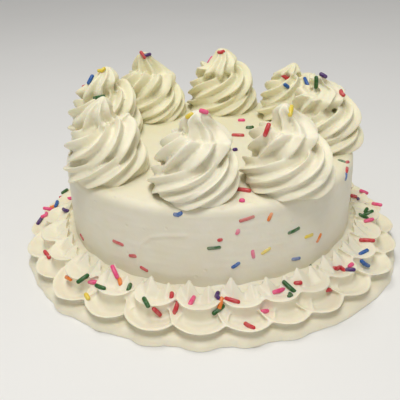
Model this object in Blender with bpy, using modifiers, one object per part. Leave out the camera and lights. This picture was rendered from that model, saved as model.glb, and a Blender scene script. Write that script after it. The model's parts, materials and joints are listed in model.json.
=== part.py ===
# A small iced celebration cake: one smooth round cake, a ring of eight piped
# swirls on its top, a piped border of overlapping petals round its foot, and
# sprinkles pressed into the icing. Metres, +Z up. The origin is the middle of
# the flat underside, and -Y is the front.

import math

import bmesh
import bpy
import numpy as np
from mathutils import Matrix, Vector
from mathutils.bvhtree import BVHTree

MM = 0.001
TURN = 2.0 * math.pi

# Driving dimensions of the cake itself
CAKE_RADIUS = 71.4 * MM
CAKE_HEIGHT = 53.0 * MM
RIM_ROUND = 4.0 * MM
CAKE_SIDES = 64
RIM_STEPS = 3
GAP = 0.3 * MM
INNER_CLEARANCE = 0.4 * MM

# Piped swirls: bearing from the front and seen from above anticlockwise in
# degrees, distance of the middle from the cake's axis, half width, height,
# the bearing at which the piping starts, how far the tip leans to the right,
# and then the tip: its height, the turns that it is pulled through, how much
# thicker the rope gets there, and how full it stays (less is fuller).
SWIRLS = (
    ("swirl_front", -8.2, 52.0, 21.0, 36.6, 215, 4.2, 13.0, 0.45, 1.42, 0.46),
    ("swirl_front_right", 36.2, 56.6, 21.6, 35.5, 190, -1.6, 12.0, 0.45, 1.25, 0.55),
    ("swirl_right", 87.6, 56.0, 20.4, 35.0, 120, -2.6, 10.0, 0.90, 1.15, 0.60),
    ("swirl_back_right", 131.0, 60.0, 19.6, 29.6, 300, 1.0, 10.0, 0.50, 1.30, 0.60),
    ("swirl_back", 172.0, 57.4, 20.6, 34.0, 75, -0.3, 11.0, 0.40, 1.30, 0.50),
    ("swirl_back_left", 214.0, 58.0, 21.0, 36.5, 250, -2.2, 14.0, 0.30, 1.40, 0.56),
    ("swirl_left", 252.0, 57.2, 20.2, 35.6, 20, 3.2, 13.0, 0.40, 1.35, 0.50),
    ("swirl_front_left", 304.0, 56.8, 20.4, 35.8, 330, 1.4, 14.0, 0.35, 1.40, 0.60),
)
STAR_LOBES = 7
STAR_GROOVE = 0.50
STAR_SOFTNESS = 0.035
ROPE_RADIUS = 8.0 * MM
COILS = 2.45
UPTURN = (1.95, 2.60)
FIRST_COIL_HEIGHT = 3.6 * MM
LEVEL_TURNS = 0.8
TIP_RADIUS = 4.8 * MM
TIP_END = 0.02
STEPS_A_TURN = 56
TIP_STEPS = 26
CLOSING_TURNS = 0.8
START_ROPE_SCALE = 0.72
START_TURNS = 0.1
COIL_WOBBLE = 0.7 * MM
COIL_WAVE = 0.5 * MM
COIL_WAVES = 9.7
NOZZLE_SWING = 0.13
SWING_WAVES = 7.3
NOZZLE_SHAKE = 0.08
SHAKE_WAVES = 17.1
PRESSURE_SWING = 0.035
PRESSURE_WAVES = 31.0
LEAN_POWER = 1.5
MIDDLE_WIDTH_SHARE = 0.5
MIDDLE_HEIGHT_SHARE = 0.72
MIDDLE_LIFT_SHARE = 0.34
MIDDLE_TOP_RADIUS = 3.0 * MM
MIDDLE_SIDES = 24
CLEAR_OF_NEIGHBOUR = 1.0 * MM
SWIRL_VOXEL = 0.55 * MM
SWIRL_TRIANGLES = 735

# Border: each petal starts as a point on the cake's wall, sweeps out and
# along to the right, and tucks in under the next one. Bearing, and how far it
# reaches out as a share of the usual.
FRONT_PETALS = (
    (-62.0, 1.04), (-47.0, 1.02), (-32.5, 0.98), (-18.0, 0.96), (-4.2, 0.95),
    (9.4, 0.93), (21.2, 0.97), (32.4, 1.02), (45.6, 1.06), (59.0, 1.10),
)
PETAL_PITCH = 13.2
BACK_REACH = 1.06
PETAL_REACH = 85.2 * MM
PETAL_UNEVENNESS = 0.03
RING_WAVES = ((0.03, 27), (0.02, 7))
# Out from the petal's line and up from its underside, in millimetres: a foot,
# a groove, a thin lip with a ledge, and a wall with a rim.
PETAL_SECTION = (
    (10.0, -0.8), (10.4, 0.8), (8.4, 3.0), (6.2, 4.9), (8.6, 6.6), (10.3, 7.4), (10.4, 8.1),
    (8.9, 8.6), (5.6, 7.5), (3.0, 7.3), (1.4, 8.3), (1.8, 12.2), (2.7, 14.0), (2.3, 15.0),
    (0.4, 14.9), (-2.0, 14.2), (-4.6, 12.8), (-6.0, 11.5), (-6.4, 4.0), (-6.2, -0.8),
)
# Along the ring, out from the cake's axis, lift of the ledge, width outside
# and inside the line, and lift of the rim, in millimetres and shares.
PETAL_LINE = (
    (-9.2, 73.4, 6.5, 0.15, 0.30, 2.5), (-9.6, 77.5, 5.5, 0.30, 0.50, 1.5),
    (-8.6, 81.2, 3.6, 0.48, 0.75, 0.6), (-5.0, 84.0, 1.0, 0.82, 1.00, 0.0),
    (0.6, 84.8, 0.0, 1.00, 1.00, -0.2), (5.6, 83.8, 0.4, 0.86, 0.95, 0.0),
    (8.8, 80.8, 2.2, 0.55, 0.70, 0.2), (9.2, 77.4, 4.0, 0.40, 0.50, 0.0),
    (7.4, 75.2, 5.0, 0.25, 0.30, -1.0),
)
# Heights in the section at which the lifts take hold: the underside and the
# groove stay, the ledge and the rim rise.
LIFT_HEIGHTS = (-2.0, 3.0, 8.0, 15.0)
# The low bank that the petals lean on, and the flat foot under their lips,
# both out from the cake's wall and up.
BANK_SECTION = ((-2.0, -1.0), (9.0, -1.0), (12.5, 5.0), (10.5, 12.0), (6.0, 13.8), (2.0, 15.0), (-2.0, 15.5))
FOOT_SECTION = ((14.0, -1.0), (22.4, -1.0), (23.0, 0.8), (21.2, 3.0), (18.0, 4.4), (10.0, 5.0))
# Peaks that each petal leaves against the wall: along, out, foot height, tip
# height, and radius at the foot.
PEAKS = ((-4.2, 78.0, 11.5, 21.0, 6.0), (4.4, 78.6, 11.5, 18.6, 5.2))
PEAK_SIDES = 4
PEAK_LEAN = 73.8 * MM
PEAK_TIP = 0.7 * MM
PEAK_WIDTH = 1.35
PEAK_DEPTH = 0.75
PEAK_UNEVENNESS = 1.2
BORDER_VOXEL = 0.8 * MM
BORDER_TRIANGLES = 2700

# Sprinkles
SPRINKLE_LENGTH = 6.4 * MM
SPRINKLE_RADIUS = 0.85 * MM
SPRINKLE_SIDES = 5
SPRINKLE_CAP = 0.5
SUNK_ON_PIPING = 0.38
SUNK_IN_THE_SIDE = 0.45
STEEPEST_BED = 0.1
SWIRL_SPRINKLE_REACH = (0.18, 0.55)
BORDER_SPRINKLE_REACH = (5 * MM, 20 * MM)
SIDE_SPRINKLE_TILT = 1.2
UNEVEN_SPACING = 0.3
DROP_HEIGHT = 0.2
SPRINKLES_ON_A_SWIRL = 2
SPRINKLES_ON_THE_BORDER = 36
SPRINKLES_IN_THE_SIDE = 18
SIDE_SPRINKLE_HEIGHTS = (22 * MM, 46 * MM)
SEED = 11

ICING = (0.80, 0.77, 0.66)
WARM_ICING = (0.78, 0.73, 0.58)


def clear_scene():
    for item in list(bpy.data.objects):
        bpy.data.objects.remove(item)


def new_collection(name):
    collection = bpy.data.collections.new(name)
    bpy.context.scene.collection.children.link(collection)
    return collection


def icing_material(name, colour):
    material = bpy.data.materials.new(name)
    material.use_nodes = True
    shader = material.node_tree.nodes["Principled BSDF"]
    shader.inputs["Base Color"].default_value = (*colour, 1.0)
    shader.inputs["Roughness"].default_value = 0.5
    shader.inputs["Metallic"].default_value = 0.0
    return material


def new_object(name, mesh, collection):
    item = bpy.data.objects.new(name, mesh)
    collection.objects.link(item)
    return item


# Curves

def through(points, count, closed=False):
    """Evenly stepped points on a smooth curve through the given ones."""
    points = np.asarray(points, float)
    last = len(points)
    if not closed:
        points = np.vstack([2 * points[0] - points[1], points, 2 * points[-1] - points[-2]])
    spans = last if closed else last - 1
    along = np.linspace(0, spans, count, endpoint=not closed)
    span = np.minimum(along.astype(int), spans - 1)
    f = (along - span)[:, None]
    first = span if not closed else span - 1
    a, b, c, d = (points[(first + step) % len(points)] for step in range(4))
    return 0.5 * (2 * b + (c - a) * f + (2 * a - 5 * b + 4 * c - d) * f**2 + (3 * b - a - 3 * c + d) * f**3)


def eased(value, start, end):
    step = np.clip((value - start) / (end - start), 0, 1)
    return step * step * (3 - 2 * step)


def loft(name, rings, collection):
    """A closed skin over rings of points, with a fan at each end."""
    count, sides, _ = rings.shape
    shape = bmesh.new()
    grid = [[shape.verts.new(point) for point in ring] for ring in rings]
    for low, high in zip(grid, grid[1:]):
        for side in range(sides):
            after = (side + 1) % sides
            shape.faces.new((low[side], low[after], high[after], high[side]))
    for ring, flip in ((grid[0], True), (grid[-1], False)):
        middle = shape.verts.new(sum((v.co for v in ring), Vector()) / sides)
        for side in range(sides):
            pair = (ring[side], ring[(side + 1) % sides])
            shape.faces.new((*(reversed(pair) if flip else pair), middle))
    bmesh.ops.recalc_face_normals(shape, faces=shape.faces)
    mesh = bpy.data.meshes.new(name)
    shape.to_mesh(mesh)
    shape.free()
    return new_object(name, mesh, collection)


def evaluated_mesh(item):
    graph = bpy.context.evaluated_depsgraph_get()
    return bpy.data.meshes.new_from_object(item.evaluated_get(graph))


def apply_modifiers(item):
    item.data = evaluated_mesh(item)
    item.modifiers.clear()


def keep_outer_skin(item):
    """Drops sealed hollows and loose scraps: the piece with the most faces stays."""
    shape = bmesh.new()
    shape.from_mesh(item.data)
    left = set(shape.verts)
    islands = []
    while left:
        island = set()
        edge = [left.pop()]
        while edge:
            vert = edge.pop()
            island.add(vert)
            near = {link.other_vert(vert) for link in vert.link_edges} & left
            left -= near
            edge.extend(near)
        islands.append(island)
    islands.sort(key=len)
    for island in islands[:-1]:
        bmesh.ops.delete(shape, geom=list(island), context="VERTS")
    shape.to_mesh(item.data)
    shape.free()


def fuse(item, voxel):
    """Melts overlapping turns of piping into one closed surface."""
    remesh = item.modifiers.new("Fuse", "REMESH")
    remesh.mode = "VOXEL"
    remesh.voxel_size = voxel
    apply_modifiers(item)
    keep_outer_skin(item)


def thin_out(item, triangles):
    """Keeps the ridges while it brings the piece down to a number of triangles."""
    item.data.calc_loop_triangles()
    fewer = item.modifiers.new("Thin out", "DECIMATE")
    fewer.ratio = triangles / len(item.data.loop_triangles)
    apply_modifiers(item)


def boolean(item, operation, other, solver="EXACT"):
    cut = item.modifiers.new(operation.title(), "BOOLEAN")
    cut.operation = operation
    cut.solver = solver
    if isinstance(other, bpy.types.Collection):
        cut.operand_type = "COLLECTION"
        cut.collection = other
    else:
        cut.object = other
    apply_modifiers(item)


# Piping

def star(angle):
    """Radius of the piping nozzle's star, as a share: sharp crests and valleys."""
    lobe = (angle * STAR_LOBES / TURN) % 1.0
    depth = np.abs(lobe - 0.5) * 2
    least = math.sqrt(STAR_SOFTNESS)
    depth = (np.sqrt(depth**2 + STAR_SOFTNESS) - least) / (math.sqrt(1 + STAR_SOFTNESS) - least)
    return 1 - (1 - STAR_GROOVE) * depth


def rope_rings(line, radius, heading, climb, wander, sides=49):
    """Star rings along a line, from a nozzle that stays upright and never turns.

    The side that leads goes down under the rope and the side that trails
    comes out on top, which is what makes the ridges climb round a swirl.
    """
    forward = np.stack([np.cos(heading), np.sin(heading), 0 * heading], 1)
    left = np.stack([-np.sin(heading), np.cos(heading), 0 * heading], 1)
    down = np.sin(climb)[:, None] * forward - np.cos(climb)[:, None] * np.array([0, 0, 1.0])
    angle = np.arange(sides) * TURN / sides
    reach = star(angle[None, :] + wander[:, None]) * radius[:, None]
    turned = angle[None, :] - heading[:, None]
    across = (np.cos(turned)[:, :, None] * down[:, None, :]
              + np.sin(turned)[:, :, None] * left[:, None, :])
    return line[:, None, :] + reach[:, :, None] * across


def swirl_rings(half_width, height, start, tip_height, tip_turns, tip_swell, fullness):
    """Coils that stay inside a dome as they climb, then a tip pulled up in a curl."""
    turns = np.linspace(0, COILS, int(COILS * STEPS_A_TURN) + 1)
    rising = np.clip((turns - LEVEL_TURNS) / (COILS - LEVEL_TURNS), 0, 1)
    lift = FIRST_COIL_HEIGHT + (height - tip_height - FIRST_COIL_HEIGHT) * rising
    dome = half_width * np.sqrt(np.clip(1 - (lift / height) ** 2, 0, 1))
    swell = 1 + (tip_swell - 1) * eased(turns, CLOSING_TURNS, COILS)
    radius = np.clip(dome - ROPE_RADIUS * swell, 0, None)
    closing = eased(turns, COILS - CLOSING_TURNS, COILS)
    radius = radius * (1 - closing) + np.minimum(radius, TIP_RADIUS) * closing
    swell = swell * (START_ROPE_SCALE + (1 - START_ROPE_SCALE) * eased(turns, 0.0, START_TURNS))

    up = np.linspace(0, 1, TIP_STEPS + 1)[1:]
    turns = np.concatenate([turns, COILS + tip_turns * up])
    lift = np.concatenate([lift, lift[-1] + tip_height * up])
    radius = np.concatenate([radius, radius[-1] * (1 - up)])
    swell = np.concatenate([swell, tip_swell * (1 - up) ** fullness + TIP_END])

    angle = start + TURN * turns
    on_the_coils = 1 - eased(turns, COILS - CLOSING_TURNS, COILS)
    radius = radius + COIL_WOBBLE * np.sin(2 * angle + start) * on_the_coils
    lift = lift + COIL_WAVE * np.sin(COIL_WAVES * turns + start) * on_the_coils
    swell = swell * (1 + PRESSURE_SWING * np.sin(PRESSURE_WAVES * turns + start))
    wander = NOZZLE_SWING * np.sin(SWING_WAVES * turns + start)
    wander = wander + NOZZLE_SHAKE * np.sin(SHAKE_WAVES * turns + start)
    line = np.stack([radius * np.cos(angle), radius * np.sin(angle), lift], 1)
    slope = np.arctan2(np.gradient(lift), np.hypot(np.gradient(line[:, 0]), np.gradient(line[:, 1])))
    climb = slope + (TURN / 4 - slope) * eased(turns, *UPTURN)
    return rope_rings(line, ROPE_RADIUS * swell, angle + TURN / 4, climb, wander)


def petal_rings(bearing, size, reach, rings=40, sides=84):
    """One petal of the border: its stepped section swept along its own line."""
    line = through(PETAL_LINE, rings)
    section = through(PETAL_SECTION, sides, closed=True) * MM
    along = line[:, 0] * MM
    out = CAKE_RADIUS + (line[:, 1] * MM - CAKE_RADIUS) * size * reach
    heading = np.unwrap(np.arctan2(-np.gradient(out), np.gradient(along)))
    offset = section[:, 0][None, :]
    share = np.where(offset > 0, line[:, 3][:, None], line[:, 4][:, None])
    width = offset * share * size
    x = along[:, None] + width * np.sin(heading)[:, None]
    r = out[:, None] + width * np.cos(heading)[:, None]
    marks = np.array(LIFT_HEIGHTS) * MM
    z = np.array([np.interp(section[:, 1], marks, marks + np.array([0, 0, ledge, rim]) * MM) * size
                  for ledge, rim in line[:, (2, 5)]])
    turned = bearing + x / PETAL_REACH
    return np.stack([r * np.sin(turned), -r * np.cos(turned), z], 2)


def ring_of(section, reach, steps=168, sides=20):
    """A low uneven ring of icing along the cake's wall."""
    turned = np.linspace(0, TURN, steps, endpoint=False)
    outline = through(section, sides, closed=True) * MM
    swell = 1 + sum(depth * np.sin(count * turned) for depth, count in RING_WAVES)[:, None]
    r = CAKE_RADIUS + outline[:, 0][None, :] * reach(turned)[:, None]
    z = outline[:, 1][None, :] * swell
    return np.stack([r * np.sin(turned)[:, None], -r * np.cos(turned)[:, None], z], 2)


def ring_loft(name, rings, collection):
    """A closed loop of rings, with no ends."""
    count, sides, _ = rings.shape
    shape = bmesh.new()
    grid = [[shape.verts.new(point) for point in ring] for ring in rings]
    for step in range(count):
        low, high = grid[step], grid[(step + 1) % count]
        for side in range(sides):
            after = (side + 1) % sides
            shape.faces.new((low[side], low[after], high[after], high[side]))
    bmesh.ops.recalc_face_normals(shape, faces=shape.faces)
    mesh = bpy.data.meshes.new(name)
    shape.to_mesh(mesh)
    shape.free()
    return new_object(name, mesh, collection)


# Sprinkles

UPRIGHT = 0.9


def sprinkle_mesh():
    """A short rod with rounded ends along X."""
    shape = bmesh.new()
    straight = SPRINKLE_LENGTH - SPRINKLE_RADIUS
    bmesh.ops.create_cone(shape, cap_ends=True, segments=SPRINKLE_SIDES, radius1=SPRINKLE_RADIUS,
                          radius2=SPRINKLE_RADIUS, depth=straight)
    caps = [face for face in shape.faces if abs(face.normal.z) > UPRIGHT]
    for cap in bmesh.ops.extrude_discrete_faces(shape, faces=caps)["faces"]:
        middle = cap.calc_center_median()
        bulge = Vector((0, 0, math.copysign(SPRINKLE_RADIUS / 2, middle.z)))
        for vert in cap.verts:
            vert.co = middle + (vert.co - middle) * SPRINKLE_CAP + bulge
    lie_down = Vector((0, 0, 1)).rotation_difference(Vector((1, 0, 0))).to_matrix()
    bmesh.ops.rotate(shape, verts=shape.verts, cent=(0, 0, 0), matrix=lie_down)
    bmesh.ops.recalc_face_normals(shape, faces=shape.faces)
    mesh = bpy.data.meshes.new("sprinkle")
    shape.to_mesh(mesh)
    shape.free()
    return mesh


def lay(mesh, point, normal, spin, sunk, laid):
    """One sprinkle flat on the icing, sunk in by a part of its thickness."""
    level = Vector((math.cos(spin), math.sin(spin), 0))
    side = normal.cross(level).normalized()
    ahead = side.cross(normal).normalized()
    axes = Matrix((ahead, side, normal)).transposed().to_4x4()
    item = new_object("laid_sprinkle", mesh, laid)
    item.matrix_world = Matrix.Translation(point + normal * SPRINKLE_RADIUS * (1 - 2 * sunk)) @ axes


def surface_of(item):
    return BVHTree.FromObject(item, bpy.context.evaluated_depsgraph_get())


def press_in(item, laid):
    """Joins the laid sprinkles to the icing that they lie on."""
    if not laid.objects:
        return
    bpy.context.view_layer.update()
    boolean(item, "UNION", laid, solver="MANIFOLD")
    for sprinkle in list(laid.objects):
        bpy.data.objects.remove(sprinkle)
    keep_outer_skin(item)


def sprinkle_from_above(item, spots, laid, chance):
    """Drops sprinkles straight down on each spot and presses them in."""
    mesh = sprinkle_mesh()
    surface = surface_of(item)
    for x, y in spots:
        point, normal, _, _ = surface.ray_cast(Vector((x, y, DROP_HEIGHT)), Vector((0, 0, -1)))
        if point is not None and normal.z > STEEPEST_BED:
            lay(mesh, point, normal, chance.uniform(0, TURN), SUNK_ON_PIPING, laid)
    press_in(item, laid)


# Sub-parts

def outwards(bearing, distance, height=0.0):
    """The point at this bearing from the front, anticlockwise seen from above."""
    return Vector((distance * math.sin(bearing), -distance * math.cos(bearing), height))


def block(name, centre, size, cutters):
    bpy.ops.mesh.primitive_cube_add(size=1.0)
    item = bpy.context.object
    item.name = name
    item.data.transform(Matrix.Translation(centre) @ Matrix.Diagonal((*size, 1.0)))
    return as_cutter(item, cutters)


def as_cutter(item, cutters):
    for holder in list(item.users_collection):
        holder.objects.unlink(item)
    cutters.objects.link(item)
    item.hide_render = True
    item.display_type = "WIRE"
    return item


def make_cake(parts, laid, chance):
    bpy.ops.mesh.primitive_cylinder_add(vertices=CAKE_SIDES, radius=CAKE_RADIUS, depth=CAKE_HEIGHT)
    cake = bpy.context.object
    cake.name = "cake"
    for holder in list(cake.users_collection):
        holder.objects.unlink(cake)
    parts.objects.link(cake)
    cake.data.transform(Matrix.Translation((0, 0, CAKE_HEIGHT / 2)))
    weight = cake.data.attributes.new("bevel_weight_edge", "FLOAT", "EDGE")
    for edge in cake.data.edges:
        lowest = min(cake.data.vertices[end].co.z for end in edge.vertices)
        weight.data[edge.index].value = float(lowest > CAKE_HEIGHT - MM)
    rim = cake.modifiers.new("Rim", "BEVEL")
    rim.width = RIM_ROUND
    rim.segments = RIM_STEPS
    rim.limit_method = "WEIGHT"
    apply_modifiers(cake)

    mesh = sprinkle_mesh()
    surface = surface_of(cake)
    step = TURN / SPRINKLES_IN_THE_SIDE
    for number in range(SPRINKLES_IN_THE_SIDE):
        bearing = (number + chance.uniform(-UNEVEN_SPACING, UNEVEN_SPACING)) * step
        height = chance.uniform(*SIDE_SPRINKLE_HEIGHTS)
        start = outwards(bearing, 2 * CAKE_RADIUS, height)
        point, normal, _, _ = surface.ray_cast(start, -outwards(bearing, 1.0))
        across = normal.cross(Vector((0, 0, 1)))
        tilt = chance.uniform(-SIDE_SPRINKLE_TILT, SIDE_SPRINKLE_TILT)
        lean = across * math.cos(tilt) + Vector((0, 0, 1)) * math.sin(tilt)
        side = normal.cross(lean).normalized()
        axes = Matrix((side.cross(normal).normalized(), side, normal)).transposed().to_4x4()
        item = new_object("laid_sprinkle", mesh, laid)
        item.matrix_world = Matrix.Translation(point - normal * SPRINKLE_RADIUS * SUNK_IN_THE_SIDE) @ axes
    press_in(cake, laid)
    return cake


def make_swirl(name, place, half_width, height, start, lean, tip_height, tip_form, parts):
    """Coils over a solid middle, melted together."""
    start = math.radians(start)
    height = height * MM
    rings = swirl_rings(half_width * MM, height, start, tip_height * MM, *tip_form)
    swirl = loft(name, rings, parts)
    bpy.ops.mesh.primitive_cone_add(vertices=MIDDLE_SIDES, radius2=MIDDLE_TOP_RADIUS,
                                    radius1=MIDDLE_WIDTH_SHARE * half_width * MM,
                                    depth=MIDDLE_HEIGHT_SHARE * height)
    middle = bpy.context.object
    shape = bmesh.new()
    shape.from_mesh(middle.data)
    bmesh.ops.translate(shape, verts=shape.verts, vec=(0, 0, MIDDLE_LIFT_SHARE * height))
    shape.from_mesh(swirl.data)
    for vert in shape.verts:
        vert.co.x += lean * MM * (max(vert.co.z, 0) / height) ** LEAN_POWER
    bmesh.ops.translate(shape, verts=shape.verts, vec=place)
    shape.to_mesh(swirl.data)
    shape.free()
    bpy.data.objects.remove(middle)
    fuse(swirl, SWIRL_VOXEL)
    thin_out(swirl, SWIRL_TRIANGLES)
    return swirl


def part_neighbours(middles, cutters):
    """Swirls that press on each other meet at a flat seam halfway between them."""
    size = CAKE_RADIUS
    for number, (swirl, middle, half_width) in enumerate(middles):
        for step in (-1, 1):
            _, place, other_half = middles[(number + step) % len(middles)]
            across = place - middle
            if across.length > half_width + other_half + CLEAR_OF_NEIGHBOUR:
                continue
            seam = middle + across * (half_width / (half_width + other_half))
            direction = across.normalized()
            knife = block("seam", Vector((0, 0, 0)), (size, size, size), cutters)
            turned = Vector((1, 0, 0)).rotation_difference(direction).to_matrix().to_4x4()
            near = seam - direction * GAP / 2
            knife.data.transform(Matrix.Translation(near + direction * size / 2) @ turned)
            boolean(swirl, "DIFFERENCE", knife, solver="MANIFOLD")
            bpy.data.objects.remove(knife)


def make_swirls(parts, cutters, laid, chance):
    middles = []
    for name, bearing, distance, half_width, height, start, lean, tip_height, *tip_form in SWIRLS:
        place = outwards(math.radians(bearing), distance * MM, CAKE_HEIGHT)
        swirl = make_swirl(name, place, half_width, height, start, lean, tip_height, tip_form, parts)
        middles.append((swirl, place, half_width * MM))
    part_neighbours(middles, cutters)
    below = block("below_the_swirls", (0, 0, CAKE_HEIGHT + GAP - CAKE_RADIUS),
                  (4 * CAKE_RADIUS, 4 * CAKE_RADIUS, 2 * CAKE_RADIUS), cutters)
    for swirl, middle, half_width in middles:
        boolean(swirl, "DIFFERENCE", below, solver="MANIFOLD")
        keep_outer_skin(swirl)
        spots = []
        for number in range(SPRINKLES_ON_A_SWIRL):
            turned = TURN * (number + chance.uniform(0, 2 * UNEVEN_SPACING)) / SPRINKLES_ON_A_SWIRL
            reach = chance.uniform(*SWIRL_SPRINKLE_REACH) * half_width
            spots.append((middle.x + reach * math.cos(turned), middle.y + reach * math.sin(turned)))
        sprinkle_from_above(swirl, spots, laid, chance)
    bpy.data.objects.remove(below)
    return [swirl for swirl, _, _ in middles]


def all_petals():
    """The petals in front lie as seen, and the rest carry on evenly behind them."""
    first = FRONT_PETALS[0][0] + 360
    last = FRONT_PETALS[-1][0]
    count = round((first - last) / PETAL_PITCH)
    step = (first - last) / count
    return list(FRONT_PETALS) + [(last + step * number, BACK_REACH) for number in range(1, count)]


def peak(bearing, along, out, foot, top, radius, chance, parts):
    """A soft point of icing that leans in against the cake's wall."""
    turned = bearing + (along + chance.uniform(-PEAK_UNEVENNESS, PEAK_UNEVENNESS)) * MM / PETAL_REACH
    low = outwards(turned, out * MM, foot * MM)
    tip = outwards(turned, PEAK_LEAN, (top + chance.uniform(-PEAK_UNEVENNESS, PEAK_UNEVENNESS)) * MM)
    bpy.ops.mesh.primitive_cone_add(vertices=PEAK_SIDES, radius1=radius * MM, radius2=PEAK_TIP, depth=1.0)
    item = bpy.context.object
    for holder in list(item.users_collection):
        holder.objects.unlink(item)
    parts.objects.link(item)
    rise = tip - low
    along_ring = outwards(turned + TURN / 4, 1.0)
    across = rise.normalized().cross(along_ring)
    form = Matrix((along_ring * PEAK_WIDTH, across * PEAK_DEPTH, rise)).transposed().to_4x4()
    item.data.transform(Matrix.Translation((low + tip) / 2) @ form)
    return item


def make_border(parts, cutters, laid, chance):
    petals = all_petals()
    around = np.array([math.radians(bearing) for bearing, _ in petals])
    reaches = np.array([reach for _, reach in petals])

    def reach_at(turned):
        return np.interp(turned, around, reaches, period=TURN)

    loose = [ring_loft("foot", ring_of(FOOT_SECTION, reach_at), parts)]
    for bearing, reach in zip(around, reaches):
        size = 1 + chance.uniform(-PETAL_UNEVENNESS, PETAL_UNEVENNESS)
        loose.append(loft("petal", petal_rings(bearing, size, reach), parts))
        for form in PEAKS:
            loose.append(peak(bearing, *form, chance, parts))
    border = ring_loft("border", ring_of(BANK_SECTION, np.ones_like), parts)
    shape = bmesh.new()
    shape.from_mesh(border.data)
    for item in loose:
        shape.from_mesh(item.data)
        bpy.data.objects.remove(item)
    shape.to_mesh(border.data)
    shape.free()
    fuse(border, BORDER_VOXEL)
    thin_out(border, BORDER_TRIANGLES)

    bpy.ops.mesh.primitive_cylinder_add(vertices=2 * CAKE_SIDES, radius=CAKE_RADIUS + INNER_CLEARANCE,
                                        depth=4 * CAKE_HEIGHT)
    inside = as_cutter(bpy.context.object, cutters)
    boolean(border, "DIFFERENCE", inside)
    below = block("below_the_border", (0, 0, -CAKE_RADIUS),
                  (4 * CAKE_RADIUS, 4 * CAKE_RADIUS, 2 * CAKE_RADIUS), cutters)
    boolean(border, "DIFFERENCE", below)
    for cutter in (inside, below):
        bpy.data.objects.remove(cutter)
    keep_outer_skin(border)

    spots = []
    for number in range(SPRINKLES_ON_THE_BORDER):
        turned = TURN * (number + chance.uniform(-UNEVEN_SPACING, UNEVEN_SPACING)) / SPRINKLES_ON_THE_BORDER
        place = outwards(turned, CAKE_RADIUS + chance.uniform(*BORDER_SPRINKLE_REACH))
        spots.append((place.x, place.y))
    sprinkle_from_above(border, spots, laid, chance)
    return border


def main():
    clear_scene()
    chance = np.random.default_rng(SEED)
    parts = new_collection("iced_cake")
    cutters = new_collection("cutters")
    laid = new_collection("laid_sprinkles")
    pale = icing_material("icing", ICING)
    warm = icing_material("piped_icing", WARM_ICING)
    cake = make_cake(parts, laid, chance)
    cake.data.materials.append(pale)
    for swirl in make_swirls(parts, cutters, laid, chance):
        swirl.data.materials.append(warm.copy())
    border = make_border(parts, cutters, laid, chance)
    border.data.materials.append(warm)


main()
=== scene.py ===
# %% [markdown]
# A small iced cake: a smooth round cake with a ring of eight piped swirls on its top, a piped
# border of overlapping petals round its foot, and coloured sprinkles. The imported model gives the
# sizes and the places, and stays fixed. This lesson dresses it: every icing piece is modelled
# again with a fine surface, and then gets its finish.

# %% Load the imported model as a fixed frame
import json
import math

import bmesh
import bpy
import numpy as np
from mathutils import Matrix, Vector, noise
from mathutils.bvhtree import BVHTree

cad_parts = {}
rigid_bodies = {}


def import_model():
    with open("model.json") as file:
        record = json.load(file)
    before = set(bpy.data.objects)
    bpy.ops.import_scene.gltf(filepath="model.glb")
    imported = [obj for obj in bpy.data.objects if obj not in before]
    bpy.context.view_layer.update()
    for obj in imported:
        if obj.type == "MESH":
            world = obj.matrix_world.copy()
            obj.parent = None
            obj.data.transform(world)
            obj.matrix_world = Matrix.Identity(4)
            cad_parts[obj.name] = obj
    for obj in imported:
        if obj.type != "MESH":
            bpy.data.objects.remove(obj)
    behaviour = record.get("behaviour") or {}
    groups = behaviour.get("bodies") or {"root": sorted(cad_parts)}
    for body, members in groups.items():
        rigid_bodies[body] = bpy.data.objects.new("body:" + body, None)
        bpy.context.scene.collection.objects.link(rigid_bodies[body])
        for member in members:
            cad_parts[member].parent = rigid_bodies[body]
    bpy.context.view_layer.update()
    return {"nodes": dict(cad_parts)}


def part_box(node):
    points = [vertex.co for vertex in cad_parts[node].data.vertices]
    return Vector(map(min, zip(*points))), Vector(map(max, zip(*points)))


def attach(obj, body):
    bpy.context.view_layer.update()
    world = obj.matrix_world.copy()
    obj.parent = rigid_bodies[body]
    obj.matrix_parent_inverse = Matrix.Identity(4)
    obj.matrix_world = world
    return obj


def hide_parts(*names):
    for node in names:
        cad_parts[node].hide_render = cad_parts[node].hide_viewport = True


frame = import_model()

print("pieces in the frame:", sorted(frame["nodes"]))

# %% [markdown]
# All sizes are in metres, so a size in millimetres is written as a number times MM. The bearing
# of a piece is its angle round the cake from the front, which is -Y, anticlockwise seen from above.

# %% Sizes of the cake
MM = 0.001
TURN = 2 * math.pi
CAKE_RADIUS = 71.4 * MM
CAKE_HEIGHT = 53.0 * MM
RIM_ROUND = 4.0 * MM


def outwards(bearing, distance, height=0.0):
    """The point at this bearing and distance from the cake's axis."""
    return Vector((distance * math.sin(bearing), -distance * math.cos(bearing), height))


low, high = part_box("cake")
print(f"cake: {high[2] * 1000:.1f} mm high in the frame, {CAKE_HEIGHT * 1000:.1f} here")

# %% [markdown]
# The camera stands where the photograph was taken from: in front, a little above the cake, looking
# down on it. Its place and its turns were found by fitting it to outlines in the photograph, the
# cake's rim and sides among them, and are written here as plain values. It is made first, because
# the sprinkles are laid by where they are seen.

# %% Camera at the photograph's viewpoint
PICTURE_SIZE = 400
FOCAL_PIXELS = 620.0
SENSOR = 36.0
CAMERA_DISTANCE = 290.9 * MM
CAMERA_HEIGHT = 170.8 * MM
LOOKING_DOWN = 0.4766
TURNED_LEFT = 0.0189
TILTED = -0.0289

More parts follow.
